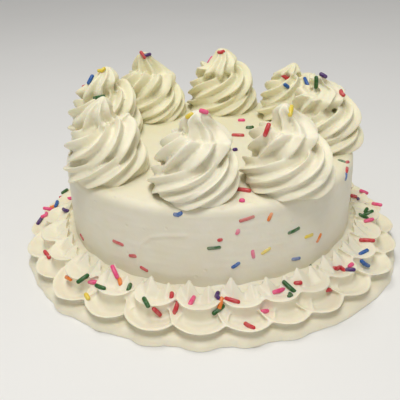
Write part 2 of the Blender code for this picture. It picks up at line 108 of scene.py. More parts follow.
camera_data = bpy.data.cameras.new("camera")
camera_data.sensor_width = SENSOR
camera_data.lens = FOCAL_PIXELS * SENSOR / PICTURE_SIZE
camera = bpy.data.objects.new("camera", camera_data)
bpy.context.scene.collection.objects.link(camera)
camera.matrix_world = (
    Matrix.Translation((0, -CAMERA_DISTANCE, CAMERA_HEIGHT))
    @ Matrix.Rotation(TURNED_LEFT, 4, "Z")
    @ Matrix.Rotation(TURN / 4 - LOOKING_DOWN, 4, "X")
    @ Matrix.Rotation(TILTED, 4, "Z")
)
bpy.context.scene.camera = camera
print(f"lens {camera_data.lens:.1f} mm")

# %% [markdown]
# The light is that of a bright room: a weak soft lamp above and a little behind the cake, a stronger
# one high in front, which draws the folds of the piping, and an even pale glow from all round. The
# floor is plain and pale, and isn't part of the cake. The Standard view keeps pale icing pale.

# %% Floor and light
FLOOR_SIZE = 6.0
FLOOR_DROP = 0.2 * MM
LAMPS = (
    # name, place, size, watts, warmth
    ("lamp_above", (-0.10, 0.12, 0.80), 0.24, 1.3, (1.0, 0.975, 0.93)),
    ("lamp_front", (-0.03, -0.38, 0.82), 0.30, 3.6, (1.0, 0.985, 0.96)),
)
ROOM_BRIGHTNESS = 0.40
ROOM_COLOUR = (1.0, 0.985, 0.96)


def aim(item, target):
    """Turns a lamp, which shines along its own -Z, towards a point."""
    away = Vector(item.location) - Vector(target)
    item.rotation_euler = away.to_track_quat("Z", "Y").to_euler()


shape = bmesh.new()
bmesh.ops.create_grid(shape, x_segments=1, y_segments=1, size=FLOOR_SIZE / 2)
bmesh.ops.translate(shape, verts=shape.verts, vec=(0, 0, -FLOOR_DROP))
floor_mesh = bpy.data.meshes.new("floor")
shape.to_mesh(floor_mesh)
shape.free()
floor = bpy.data.objects.new("floor", floor_mesh)
bpy.context.scene.collection.objects.link(floor)

for name, place, size, watts, warmth in LAMPS:
    lamp_data = bpy.data.lights.new(name, "AREA")
    lamp_data.shape = "DISK"
    lamp_data.size = size
    lamp_data.energy = watts
    lamp_data.color = warmth
    lamp = bpy.data.objects.new(name, lamp_data)
    lamp.location = place
    aim(lamp, (0, 0, CAKE_HEIGHT / 2))
    bpy.context.scene.collection.objects.link(lamp)

room = bpy.data.worlds.new("room")
room.use_nodes = True
room.node_tree.nodes["Background"].inputs["Color"].default_value = (*ROOM_COLOUR, 1)
room.node_tree.nodes["Background"].inputs["Strength"].default_value = ROOM_BRIGHTNESS
bpy.context.scene.world = room
bpy.context.scene.view_settings.view_transform = "Standard"
print("lamps:", [lamp[0] for lamp in LAMPS])

# %% [markdown]
# A finish is a small network of shader nodes. To write one as ordinary arithmetic, a class wraps a
# node's output socket: adding or multiplying two of them adds a Math node. A second class holds the
# material and makes every other kind of node with one method.

# %% Shader networks as arithmetic


class Wire:
    """An output socket that takes part in arithmetic."""

    def __init__(self, finish, socket):
        self.finish = finish
        self.socket = socket

    def combined(self, operation, first, second):
        return self.finish.node("ShaderNodeMath", {"operation": operation}, {0: first, 1: second})

    def __add__(self, other):
        return self.combined("ADD", self, other)

    def __radd__(self, other):
        return self.combined("ADD", other, self)

    def __sub__(self, other):
        return self.combined("SUBTRACT", self, other)

    def __rsub__(self, other):
        return self.combined("SUBTRACT", other, self)

    def __mul__(self, other):
        return self.combined("MULTIPLY", self, other)

    def __rmul__(self, other):
        return self.combined("MULTIPLY", other, self)


class Finish:
    """A material that is being built round its Principled shader."""

    def __init__(self, name):
        self.material = bpy.data.materials.new(name)
        self.material.use_nodes = True
        self.tree = self.material.node_tree
        self.shader = self.tree.nodes["Principled BSDF"]

    def feed(self, socket, value):
        if isinstance(value, Wire):
            self.tree.links.new(value.socket, socket)
        else:
            socket.default_value = value

    def node(self, kind, settings, sockets, output=0):
        """Makes a node: its settings first, then the values or links of its sockets."""
        made = self.tree.nodes.new(kind)
        for name, value in settings.items():
            setattr(made, name, value)
        for name, value in sockets.items():
            self.feed(made.inputs[name], value)
        return Wire(self, made.outputs[output])

    def place(self):
        """Object coordinates: metres on the cake, as every piece sits at the origin."""
        return self.node("ShaderNodeTexCoord", {}, {}, output="Object")

    def specks(self, size, detail=2.0, stretch=(1, 1, 1)):
        """Soft noise whose blotches are about this size across."""
        turned = self.node("ShaderNodeMapping", {}, {"Vector": self.place(), "Scale": stretch})
        return self.node("ShaderNodeTexNoise", {}, {"Vector": turned, "Scale": 0.5 / size, "Detail": detail})

    def between(self, value, start, end):
        """0 below start, 1 above end, and a straight ramp between them."""
        return self.node("ShaderNodeMapRange", {}, {"Value": value, "From Min": start, "From Max": end})

    def blend(self, share, first, second):
        """A colour between two others."""
        mixer = self.tree.nodes.new("ShaderNodeMix")
        mixer.data_type = "RGBA"
        sockets = {socket.identifier: socket for socket in mixer.inputs}
        self.feed(sockets["Factor_Float"], share)
        for name, colour in (("A_Color", first), ("B_Color", second)):
            self.feed(sockets[name], colour if isinstance(colour, Wire) else (*colour, 1))
        result = [socket for socket in mixer.outputs if socket.identifier == "Result_Color"][0]
        return Wire(self, result)

    def relief(self, height, depth):
        """A Bump node; height runs from 0 to 1 and depth is in metres."""
        return self.node("ShaderNodeBump", {}, {"Height": height, "Distance": depth, "Strength": 1.0})

    def surface(self, **values):
        """Sets the Principled shader's sockets; an underscore stands for a space."""
        for name, value in values.items():
            self.feed(self.shader.inputs[name.replace("_", " ")], value)
        return self.material


print("shader helpers are ready")

# %% [markdown]
# Buttercream is matt with a soft sheen, and light goes a little way into it, so its valleys glow
# warm instead of going grey. The Principled shader's Subsurface does that. The colour wanders a
# little in blotches, and a fine bump gives the grain of beaten sugar and butter. The colour also
# follows the place on the cake: a painted warm shade makes it yellower and a little darker towards
# the back and on the top, and it is darker and yellower towards the foot. Two finishes share one
# function: the scraped coat, and the piped icing. The piped icing is set a little paler, though both
# are one icing, so the piped pieces carry painted light.

# %% Icing finishes
CREAM = (0.800, 0.755, 0.625)
PALE_CREAM = (0.845, 0.815, 0.715)
# Painted light: the piped creams are paler than the coat's, though both are one buttercream.
LIT_PIPED_CREAM = (0.870, 0.825, 0.690)
LIT_PALE_PIPED_CREAM = (0.900, 0.870, 0.770)
PORE_SPACING = 3.4 * MM
# The colour of the painted warm shade towards the back and on the top.
WARM_SHADE_CREAM = (0.780, 0.745, 0.450)
BUTTER = (0.745, 0.680, 0.470)
ICING_GLOW_DEPTH = 0.7 * MM
ICING_GLOW_COLOUR = (1.0, 0.72, 0.40)
FROM_FRONT_TO_BACK = (-0.070, 0.060)
UP_TO_THE_TOP = (0.046, 0.053)
UP_FROM_THE_FOOT = (0.008, 0.026)


def icing_finish(name, cream, pale_cream, grain_depth, pit_depth, sheen_roughness):
    icing = Finish(name)
    drift = icing.between(icing.specks(22 * MM), 0.35, 0.65)
    mottle = icing.between(icing.specks(3.5 * MM, detail=4.0), 0.35, 0.70)
    colour = icing.blend(drift * 0.55, cream, pale_cream)
    colour = icing.blend(mottle * 0.22, colour, BUTTER)
    spot = icing.place()
    # Painted warm shade: yellower and a little darker towards the back and on the top.
    depth = icing.node("ShaderNodeSeparateXYZ", {}, {"Vector": spot}, output="Y")
    back = icing.between(depth, *FROM_FRONT_TO_BACK)
    height = icing.node("ShaderNodeSeparateXYZ", {}, {"Vector": spot}, output="Z")
    top = icing.between(height, *UP_TO_THE_TOP)
    colour = icing.blend(back * 0.45 + top * 0.15, colour, WARM_SHADE_CREAM)
    # Darker and yellower towards the foot.
    foot = 1 - icing.between(height, *UP_FROM_THE_FOOT)
    colour = icing.blend(foot * 0.30, colour, BUTTER)
    grain = icing.specks(0.7 * MM, detail=3.0) * 0.6 + icing.specks(2.4 * MM, detail=2.0) * 0.4
    cells = {"Vector": spot, "Scale": 0.5 / PORE_SPACING}
    pores = icing.node("ShaderNodeTexVoronoi", {"feature": "F1"}, cells)
    grain = grain - (1 - icing.between(pores, 0.06, 0.14)) * pit_depth
    rough = icing.specks(5 * MM, detail=3.0) * 0.16 + (sheen_roughness - 0.08)
    icing.surface(
        Base_Color=colour,
        Roughness=rough,
        Normal=icing.relief(grain, grain_depth),
        Subsurface_Weight=0.45,
        Subsurface_Radius=ICING_GLOW_COLOUR,
        Subsurface_Scale=ICING_GLOW_DEPTH,
        Specular_IOR_Level=0.42,
    )
    return icing.material


scraped_icing = icing_finish("scraped_icing", CREAM, PALE_CREAM, 0.10 * MM, 1.5, 0.46)
# The piped icing's paler creams are painted light.
piped_icing = icing_finish("piped_icing", LIT_PIPED_CREAM, LIT_PALE_PIPED_CREAM, 0.10 * MM, 0.5, 0.44)
print("icing finishes:", scraped_icing.name, "and", piped_icing.name)

# %% [markdown]
# Sprinkles are short rods of coloured sugar wax: an even colour, a soft gloss, and a slightly dusty
# skin. Those in the smooth side were beaten into the icing and are smeared with it, so their colour
# is mixed with cream in blotches.

# %% Sprinkle finishes
SUGAR_COLOURS = {
    "red": (0.56, 0.030, 0.040),
    "pink": (0.80, 0.075, 0.230),
    "orange": (0.82, 0.210, 0.020),
    "yellow": (0.78, 0.600, 0.055),
    "green": (0.014, 0.105, 0.014),
    "blue": (0.008, 0.095, 0.360),
    "purple": (0.060, 0.012, 0.140),
}
SMEAR_IN_BLOTCHES = 0.45
SMEAR_HELD_BACK = 0.10


def sugar_finish(name, colour, veiled):
    sugar = Finish(name)
    dust = sugar.between(sugar.specks(1.1 * MM, detail=3.0), 0.45, 0.75)
    shade = sugar.blend(dust * 0.18, colour, PALE_CREAM)
    if veiled:
        cover = sugar.between(sugar.specks(2.6 * MM, detail=3.0), 0.30, 0.70)
        shade = sugar.blend(cover * SMEAR_IN_BLOTCHES - SMEAR_HELD_BACK, shade, CREAM)
    sugar.surface(
        Base_Color=shade,
        Roughness=sugar.specks(2 * MM) * 0.2 + 0.26,
        Normal=sugar.relief(sugar.specks(0.6 * MM), 0.05 * MM),
        Subsurface_Weight=0.15,
        Subsurface_Scale=0.6 * MM,
        Specular_IOR_Level=0.5,
    )
    return sugar.material


open_sugar = {name: sugar_finish("sugar_" + name, colour, False) for name, colour in SUGAR_COLOURS.items()}
veiled_sugar = {name: sugar_finish("veiled_" + name, colour, True) for name, colour in SUGAR_COLOURS.items()}
print(len(open_sugar), "sugar colours, open and veiled")

# %% [markdown]
# The floor gets a finish of its own, made with the same class: two pale greys in wide soft clouds.

# %% Floor finish


def pale_floor():
    ground = Finish("pale_floor")
    cloud = ground.specks(60 * MM)
    shade = ground.blend(cloud, (0.80, 0.80, 0.79), (0.84, 0.84, 0.83))
    return ground.surface(Base_Color=shade, Roughness=0.6)


floor.data.materials.append(pale_floor())
print("floor finish:", floor.data.materials[0].name)

# %% [markdown]
# Every piece goes through the same few steps at the end: the bmesh becomes a mesh on an object that
# stays at the origin, the surface is shaded smooth, the piece is told which body it rides on, and
# the plain solid that it stands for, where one is named, is hidden.

# %% From a bmesh to a finished piece


def new_piece(name, shape, material, replaced=None):
    mesh = bpy.data.meshes.new(name)
    shape.to_mesh(mesh)
    shape.free()
    mesh.shade_smooth()
    mesh.materials.append(material)
    piece = bpy.data.objects.new(name, mesh)
    bpy.context.scene.collection.objects.link(piece)
    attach(piece, "root")
    if replaced:
        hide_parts(replaced)
    return piece


def fuse(piece, voxel, smoothing):
    """Melts overlapping shapes into one skin, smooths it, and keeps only the outer skin."""
    melt = piece.modifiers.new("Melt", "REMESH")
    melt.mode = "VOXEL"
    melt.voxel_size = voxel
    soften = piece.modifiers.new("Soften", "SMOOTH")
    soften.factor = 0.5
    soften.iterations = smoothing
    graph = bpy.context.evaluated_depsgraph_get()
    fused = bmesh.new()
    fused.from_mesh(bpy.data.meshes.new_from_object(piece.evaluated_get(graph)))
    piece.modifiers.clear()
    return fused


def uneven(shape, wave, height, inwards=0.0, seed=0.0):
    """Pushes the surface in and out in soft waves of this length, and a little inwards overall."""
    shift = Vector((seed, 2 * seed, 3 * seed))
    for vert in shape.verts:
        vert.co += vert.normal * (height * noise.noise(vert.co / wave + shift) - inwards)
    shape.normal_update()


def put_back(piece, shape):
    shape.to_mesh(piece.data)
    shape.free()
    piece.data.shade_smooth()
    piece.data.calc_loop_triangles()
    print(piece.name, len(piece.data.loop_triangles), "triangles")


print("ready to make, melt and finish a piece")

# %% [markdown]
# Piped icing is a rope of which each slice is a ring. Instead of listing faces, a flat grid of
# squares is made with one operator and then rolled up: the point in row i and column j moves to
# point j of ring i. Merging the doubles closes the seam, and filling the holes closes the ends.

# %% Roll a grid into a rope


def rolled(rings, ends_meet=False):
    count, sides, _ = rings.shape
    spans = count if ends_meet else count - 1
    sheet = bmesh.new()
    bmesh.ops.create_grid(sheet, x_segments=spans, y_segments=sides, size=0.5)
    for vert in sheet.verts:
        ring = round((vert.co.x + 0.5) * spans) % count
        side = round((vert.co.y + 0.5) * sides) % sides
        vert.co = rings[ring, side]
    bmesh.ops.remove_doubles(sheet, verts=sheet.verts, dist=0.0001 * MM)
    bmesh.ops.holes_fill(sheet, edges=sheet.edges, sides=0)
    bmesh.ops.recalc_face_normals(sheet, faces=sheet.faces)
    return sheet


def through(points, count, closed=False):
    """Evenly stepped points on a smooth curve through the given ones."""
    points = np.asarray(points, float)
    last = len(points)
    if not closed:
        points = np.vstack([2 * points[0] - points[1], points, 2 * points[-1] - points[-2]])
    spans = last if closed else last - 1
    along = np.linspace(0, spans, count, endpoint=not closed)
    span = np.minimum(along.astype(int), spans - 1)
    f = (along - span)[:, None]
    first = span - 1 if closed else span
    a, b, c, d = (points[(first + step) % len(points)] for step in range(4))
    return 0.5 * (2 * b + (c - a) * f + (2 * a - 5 * b + 4 * c - d) * f**2 + (3 * b - a - 3 * c + d) * f**3)


def eased(value, start, end):
    step = np.clip((value - start) / (end - start), 0, 1)
    return step * step * (3 - 2 * step)


print("half way up a gentle step:", float(eased(0.5, 0, 1)))

# %% [markdown]
# The body of the cake is turned: a profile of the wall, the rounded rim and the top is spun once
# round the axis. The icing isn't perfect: it swells and sinks a little, the scraper leaves long
# shallow streaks round it, and the rim wanders. Those are real moves of the surface, so they show
# on its outline too.

# %% The smooth iced body
WALL_ROWS = 84
RIM_ROWS = 9
TOP_ROWS = 30
ROUND_STEPS = 640
SCRAPE_MARK = (
    # bearing in degrees, height in millimetres, along the edge that the scraper left
    (-27.4, 22.0), (-26.6, 29.0), (-24.4, 33.8), (-21.1, 37.5), (-15.6, 39.6), (-8.7, 40.6),
)
MARK_HEIGHT = 0.42
MARK_WIDTH = 0.8
MARK_REACH = 4
STREAKS_ROUND = 6
STREAK_ROW = 4.0
STREAK_WAVE = 2.4 * MM
SWELL_WAVE = 26 * MM
DIMPLE_WAVE = 6 * MM
STREAK_DEPTH = 0.12
SWELL_DEPTH = 0.34
DIMPLE_DEPTH = 0.12
HELD_BACK = 0.25
FLAT_FOOT = 0.5 * MM


def body_profile():
    """Points from the middle of the underside out, up the wall, round the rim and in again."""
    corner = CAKE_RADIUS - RIM_ROUND
    points = [(0.0, 0.0), (CAKE_RADIUS * 0.5, 0.0)]
    points += [(CAKE_RADIUS, z) for z in np.linspace(0, CAKE_HEIGHT - RIM_ROUND, WALL_ROWS)]
    for step in range(1, RIM_ROWS):
        angle = TURN / 4 * step / RIM_ROWS
        rise = RIM_ROUND * (math.sin(angle) - 1)
        points.append((corner + RIM_ROUND * math.cos(angle), CAKE_HEIGHT + rise))
    points += [(r, CAKE_HEIGHT) for r in np.linspace(corner, 0, TOP_ROWS)]
    return points


def scrape_mark(bearing, height):
    """A thin curved ridge that one pass of the scraper left on the wall, in millimetres."""
    spot = Vector((bearing * CAKE_RADIUS, height)) / MM
    corners = [Vector((math.radians(degrees) * CAKE_RADIUS / MM, up)) for degrees, up in SCRAPE_MARK]
    beside = corners[0].x - MARK_REACH < spot.x < corners[-1].x + MARK_REACH
    level = corners[0].y - MARK_REACH < spot.y < corners[-1].y + MARK_REACH
    if not (beside and level):
        return 0.0
    nearest = math.inf
    for one, two in zip(corners, corners[1:]):
        share = min(max((spot - one).dot(two - one) / (two - one).length_squared, 0), 1)
        away = spot - (one + (two - one) * share)
        nearest = min(nearest, away.length)
    return MARK_HEIGHT * math.exp(-((nearest / MARK_WIDTH) ** 2))


def scraped(place):
    """How far the icing stands out at a point, in millimetres."""
    bearing = math.atan2(place.x, -place.y)
    streak = noise.noise(Vector((bearing * STREAKS_ROUND, STREAK_ROW, place.z / STREAK_WAVE)))
    swell = noise.noise(place / SWELL_WAVE)
    dimple = noise.noise(place / DIMPLE_WAVE)
    rough = STREAK_DEPTH * streak + SWELL_DEPTH * swell + DIMPLE_DEPTH * dimple
    return rough + scrape_mark(bearing, place.z)


body = bmesh.new()
line = [body.verts.new((r, 0, z)) for r, z in body_profile()]
edges = [body.edges.new(pair) for pair in zip(line, line[1:])]
bmesh.ops.spin(body, geom=line + edges, cent=(0, 0, 0), axis=(0, 0, 1), angle=TURN,
               steps=ROUND_STEPS, use_merge=True)
bmesh.ops.remove_doubles(body, verts=body.verts, dist=0.001 * MM)
bmesh.ops.recalc_face_normals(body, faces=body.faces)
for vert in body.verts:
    if vert.co.z > FLAT_FOOT:
        vert.co += vert.normal * (scraped(vert.co) - HELD_BACK) * MM
smooth_body = new_piece("smooth_body", body, scraped_icing, "cake")
smooth_body.data.calc_loop_triangles()
print("body:", len(smooth_body.data.loop_triangles), "triangles")

# %% [markdown]
# A swirl is piped with a star nozzle held upright: the icing comes out as a rope with seven ridges,
# which is laid down in coils that stay inside a dome as they climb, and is then pulled up in a curl.
# The nozzle hardly turns, so its star keeps its bearing while the rope goes round, and that is what
# makes the ridges climb round the swirl as slanting folds. The same rule is followed here. The front
# and back left swirls are about a millimetre lower than their solids, so that the sprinkles on their
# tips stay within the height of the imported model.

# %% Swirls: the path of the nozzle
SWIRLS = (
    # name, bearing, distance, half width, height, bearing at the start, lean to the right, and
    # for the tip: height, turns, how much thicker the rope gets, how full it stays (less is fuller)
    ("front", -8.2, 52.0, 21.0, 35.6, 215, 4.2, 13.0, 0.45, 1.42, 0.46),
    ("front_right", 36.2, 56.6, 21.6, 35.5, 190, -1.6, 12.0, 0.45, 1.25, 0.55),
    ("right", 87.6, 56.0, 20.4, 35.0, 120, -2.6, 10.0, 0.90, 1.15, 0.60),
    ("back_right", 131.0, 60.0, 19.6, 29.6, 300, 1.0, 10.0, 0.50, 1.30, 0.60),
    ("back", 172.0, 57.4, 20.6, 34.0, 75, -0.3, 11.0, 0.40, 1.30, 0.50),
    ("back_left", 214.0, 58.0, 21.0, 35.4, 250, -2.2, 14.0, 0.30, 1.40, 0.56),
    ("left", 252.0, 57.2, 20.2, 35.6, 20, 3.2, 13.0, 0.40, 1.35, 0.50),
    ("front_left", 304.0, 56.8, 20.4, 35.8, 330, 1.4, 14.0, 0.35, 1.40, 0.60),
)
STAR_LOBES = 7
STAR_GROOVE = 0.50
STAR_SOFTNESS = 0.035
STAR_POINTS = 84
ROPE_RADIUS = 8.0 * MM
COILS = 2.45
UPTURN = (1.95, 2.60)
FIRST_COIL_HEIGHT = 3.6 * MM
LEVEL_TURNS = 0.8
TIP_RADIUS = 4.8 * MM
TIP_END = 0.02
STEPS_A_TURN = 72
TIP_STEPS = 34
CLOSING_TURNS = 0.8
START_ROPE_SCALE = 0.72
START_TURNS = 0.1
COIL_WOBBLE = 0.7 * MM
COIL_WAVE = 0.5 * MM
COIL_WAVES = 9.7
NOZZLE_SWING = 0.13
SWING_WAVES = 7.3
NOZZLE_SHAKE = 0.08
SHAKE_WAVES = 17.1
PRESSURE_SWING = 0.035
PRESSURE_WAVES = 31.0
LEAN_POWER = 1.5


def star(angle):
    """Radius of the nozzle's star, as a share: softly rounded crests, narrow valleys between."""
    lobe = (angle * STAR_LOBES / TURN) % 1.0
    depth = np.abs(lobe - 0.5) * 2
    least = math.sqrt(STAR_SOFTNESS)
    depth = (np.sqrt(depth**2 + STAR_SOFTNESS) - least) / (math.sqrt(1 + STAR_SOFTNESS) - least)
    return 1 - (1 - STAR_GROOVE) * depth


def rope_rings(line, radius, heading, climb, wander):
    """Star rings along a line, from a nozzle that stays upright and turns only by its wander."""
    forward = np.stack([np.cos(heading), np.sin(heading), 0 * heading], 1)
    left = np.stack([-np.sin(heading), np.cos(heading), 0 * heading], 1)
    down = np.sin(climb)[:, None] * forward - np.cos(climb)[:, None] * np.array([0, 0, 1.0])
    angle = np.arange(STAR_POINTS) * TURN / STAR_POINTS
    reach = star(angle[None, :] + wander[:, None]) * radius[:, None]
    turned = angle[None, :] - heading[:, None]
    across = (np.cos(turned)[:, :, None] * down[:, None, :]
              + np.sin(turned)[:, :, None] * left[:, None, :])
    return line[:, None, :] + reach[:, :, None] * across


def swirl_rings(half_width, height, start, tip_height, tip_turns, tip_swell, fullness):
    """Coils that stay inside a dome as they climb, then a tip pulled up in a curl."""
    turns = np.linspace(0, COILS, int(COILS * STEPS_A_TURN) + 1)
    rising = np.clip((turns - LEVEL_TURNS) / (COILS - LEVEL_TURNS), 0, 1)
    lift = FIRST_COIL_HEIGHT + (height - tip_height - FIRST_COIL_HEIGHT) * rising
    dome = half_width * np.sqrt(np.clip(1 - (lift / height) ** 2, 0, 1))
    swell = 1 + (tip_swell - 1) * eased(turns, CLOSING_TURNS, COILS)
    radius = np.clip(dome - ROPE_RADIUS * swell, 0, None)
    closing = eased(turns, COILS - CLOSING_TURNS, COILS)
    radius = radius * (1 - closing) + np.minimum(radius, TIP_RADIUS) * closing
    swell = swell * (START_ROPE_SCALE + (1 - START_ROPE_SCALE) * eased(turns, 0.0, START_TURNS))

    up = np.linspace(0, 1, TIP_STEPS + 1)[1:]
    turns = np.concatenate([turns, COILS + tip_turns * up])
    lift = np.concatenate([lift, lift[-1] + tip_height * up])
    radius = np.concatenate([radius, radius[-1] * (1 - up)])
    swell = np.concatenate([swell, tip_swell * (1 - up) ** fullness + TIP_END])

    angle = start + TURN * turns
    on_the_coils = 1 - eased(turns, COILS - CLOSING_TURNS, COILS)
    radius = radius + COIL_WOBBLE * np.sin(2 * angle + start) * on_the_coils
    lift = lift + COIL_WAVE * np.sin(COIL_WAVES * turns + start) * on_the_coils
    swell = swell * (1 + PRESSURE_SWING * np.sin(PRESSURE_WAVES * turns + start))
    wander = NOZZLE_SWING * np.sin(SWING_WAVES * turns + start)
    wander = wander + NOZZLE_SHAKE * np.sin(SHAKE_WAVES * turns + start)
    line = np.stack([radius * np.cos(angle), radius * np.sin(angle), lift], 1)
    slope = np.arctan2(np.gradient(lift), np.hypot(np.gradient(line[:, 0]), np.gradient(line[:, 1])))
    climb = slope + (TURN / 4 - slope) * eased(turns, *UPTURN)
    return rope_rings(line, ROPE_RADIUS * swell, angle + TURN / 4, climb, wander)


print(len(SWIRLS), "swirls")

# %% [markdown]
# The coils overlap, and a cone fills the middle that they wind round. A voxel remesh melts them into
# one skin, as soft icing does by itself. A little noise then makes each swirl its own.

# %% Swirls: melted into one skin each
SWIRL_VOXEL = 0.52 * MM
MIDDLE_WIDTH_SHARE = 0.5
MIDDLE_HEIGHT_SHARE = 0.72
MIDDLE_LIFT_SHARE = 0.34
MIDDLE_TOP_RADIUS = 3.0 * MM
SUNK = 0.5 * MM
# length of the waves, their height, and how far the surface is drawn in
SWIRL_SWELL = (9 * MM, 0.45 * MM, 0.35 * MM)
SWIRL_RIPPLE = (2.2 * MM, 0.05 * MM)


def cut_level(shape, height):
    """Cuts away what is below a height and closes the underside."""
    everything = shape.verts[:] + shape.edges[:] + shape.faces[:]
    cut = bmesh.ops.bisect_plane(shape, geom=everything, plane_co=(0, 0, height),
                                 plane_no=(0, 0, -1), clear_outer=True)
    rim = [item for item in cut["geom_cut"] if isinstance(item, bmesh.types.BMEdge)]
    bmesh.ops.holes_fill(shape, edges=rim, sides=0)


def make_swirl(name, bearing, distance, half_width, height, start, lean, tip_height, *tip_form):
    height = height * MM
    rings = swirl_rings(half_width * MM, height, math.radians(start), tip_height * MM, *tip_form)
    shape = rolled(rings)
    bmesh.ops.create_cone(
        shape, cap_ends=True, segments=24, radius1=MIDDLE_WIDTH_SHARE * half_width * MM,
        radius2=MIDDLE_TOP_RADIUS, depth=MIDDLE_HEIGHT_SHARE * height,
        matrix=Matrix.Translation((0, 0, MIDDLE_LIFT_SHARE * height)))
    for vert in shape.verts:
        vert.co.x += lean * MM * (max(vert.co.z, 0) / height) ** LEAN_POWER
    stand = outwards(math.radians(bearing), distance * MM, CAKE_HEIGHT)
    bmesh.ops.translate(shape, verts=shape.verts, vec=stand)
    piece = new_piece("piped_" + name, shape, piped_icing, "swirl_" + name)
    shape = fuse(piece, SWIRL_VOXEL, 2)
    uneven(shape, *SWIRL_SWELL, seed=bearing)
    uneven(shape, *SWIRL_RIPPLE, seed=bearing)
    cut_level(shape, CAKE_HEIGHT - SUNK)
    put_back(piece, shape)
    return piece


piped_swirls = [make_swirl(*swirl) for swirl in SWIRLS]

# %% [markdown]
# The border is a row of petals. The nozzle starts as a point on the cake's wall, sweeps out and
# along, curls back in and starts the next petal over the last one's end. The wide star leaves steps
# on the outer side: a foot, a groove, a thin lip with a ledge on it, and a wall with a rim. Towards
# both ends of a petal the ledge narrows and rises until it meets the rim.

# %% Border: petals swept along their own line
FRONT_PETALS = (
    # bearing, and how far it reaches out as a share of the usual
    (-62.0, 1.04), (-47.0, 1.02), (-32.5, 0.98), (-18.0, 0.96), (-4.2, 0.95),
    (9.4, 0.93), (21.2, 0.97), (32.4, 1.02), (45.6, 1.06), (59.0, 1.10),
)
PETAL_PITCH = 13.2
BACK_REACH = 1.06
PETAL_REACH = 85.2 * MM
PETAL_UNEVENNESS = 0.03
RING_WAVES = ((0.03, 27), (0.02, 7))
PETAL_SECTION = (
    (10.0, -0.8), (10.4, 0.8), (8.4, 3.0), (6.2, 4.9), (8.6, 6.6), (10.3, 7.4), (10.4, 8.1),
    (8.9, 8.6), (5.6, 7.5), (3.0, 7.3), (1.4, 8.3), (1.8, 12.2), (2.7, 14.0), (2.3, 15.0),
    (0.4, 14.9), (-2.0, 14.2), (-4.6, 12.8), (-6.0, 11.5), (-6.4, 4.0), (-6.2, -0.8),
)
PETAL_LINE = (
    # along the ring, out from the axis, lift of the ledge, width outside and inside, lift of the rim
    (-9.2, 73.4, 6.5, 0.15, 0.30, 2.5), (-9.6, 77.5, 5.5, 0.30, 0.50, 1.5),
    (-8.6, 81.2, 3.6, 0.48, 0.75, 0.6), (-5.0, 84.0, 1.0, 0.82, 1.00, 0.0),
    (0.6, 84.8, 0.0, 1.00, 1.00, -0.2), (5.6, 83.8, 0.4, 0.86, 0.95, 0.0),
    (8.8, 80.8, 2.2, 0.55, 0.70, 0.2), (9.2, 77.4, 4.0, 0.40, 0.50, 0.0),
    (7.4, 75.2, 5.0, 0.25, 0.30, -1.0),
)
LIFT_HEIGHTS = (-2.0, 3.0, 8.0, 15.0)
BANK_SECTION = ((-2.0, -1.0), (9.0, -1.0), (12.5, 5.0), (10.5, 12.0), (6.0, 13.8), (2.0, 15.0), (-2.0, 15.5))
FOOT_SECTION = ((14.0, -1.0), (22.4, -1.0), (23.0, 0.8), (21.2, 3.0), (18.0, 4.4), (10.0, 5.0))
PEAKS = (
    # along, out, foot height, tip height, radius at the foot
    (-4.2, 78.0, 11.5, 21.0, 6.0),
    (4.4, 78.6, 11.5, 18.6, 5.2),
)
PEAK_SIDES = 4
PEAK_TIP = 0.7 * MM
PEAK_WIDTH = 1.35
PEAK_DEPTH = 0.75
PEAK_LEAN = 73.8 * MM
PEAK_UNEVENNESS = 1.2
SEED = 11


def petal_rings(bearing, size, reach, rings=56, sides=110):
    """One petal: its stepped section swept along its own line."""
    line = through(PETAL_LINE, rings)
    section = through(PETAL_SECTION, sides, closed=True) * MM
    along = line[:, 0] * MM
    out = CAKE_RADIUS + (line[:, 1] * MM - CAKE_RADIUS) * size * reach
    heading = np.unwrap(np.arctan2(-np.gradient(out), np.gradient(along)))
    offset = section[:, 0][None, :]
    share = np.where(offset > 0, line[:, 3][:, None], line[:, 4][:, None])
    width = offset * share * size
    x = along[:, None] + width * np.sin(heading)[:, None]
    r = out[:, None] + width * np.cos(heading)[:, None]
    marks = np.array(LIFT_HEIGHTS) * MM
    z = np.array([np.interp(section[:, 1], marks, marks + np.array([0, 0, ledge, rim]) * MM) * size
                  for ledge, rim in line[:, (2, 5)]])
    turned = bearing + x / PETAL_REACH
    return np.stack([r * np.sin(turned), -r * np.cos(turned), z], 2)


def ring_of(section, reach, steps=336, sides=20):
    """An uneven ring of icing along the cake's wall."""
    turned = np.linspace(0, TURN, steps, endpoint=False)
    outline = through(section, sides, closed=True) * MM
    swell = 1 + sum(depth * np.sin(count * turned) for depth, count in RING_WAVES)[:, None]
    r = CAKE_RADIUS + outline[:, 0][None, :] * reach(turned)[:, None]
    z = outline[:, 1][None, :] * swell
    return np.stack([r * np.sin(turned)[:, None], -r * np.cos(turned)[:, None], z], 2)


def all_petals():
    """The petals in front lie as seen, and the rest carry on evenly behind them."""
    first = FRONT_PETALS[0][0] + 360
    last = FRONT_PETALS[-1][0]
    count = round((first - last) / PETAL_PITCH)
    step = (first - last) / count
    return list(FRONT_PETALS) + [(last + step * number, BACK_REACH) for number in range(1, count)]


print(len(all_petals()), "petals")

# %% [markdown]
# All petals, their peaks and two rings of icing, a bank against the wall and a low foot, melt into
# one skin. It is a large piece, so it is cut into three sectors of the ring, each a piece of its own.

# %% Border: melted into one skin, in three sectors
BORDER_VOXEL = 0.52 * MM
BORDER_SECTORS = 3
BORDER_SWELL = (9 * MM, 0.5 * MM, 0.5 * MM)
BORDER_RIPPLE = (2.4 * MM, 0.06 * MM)


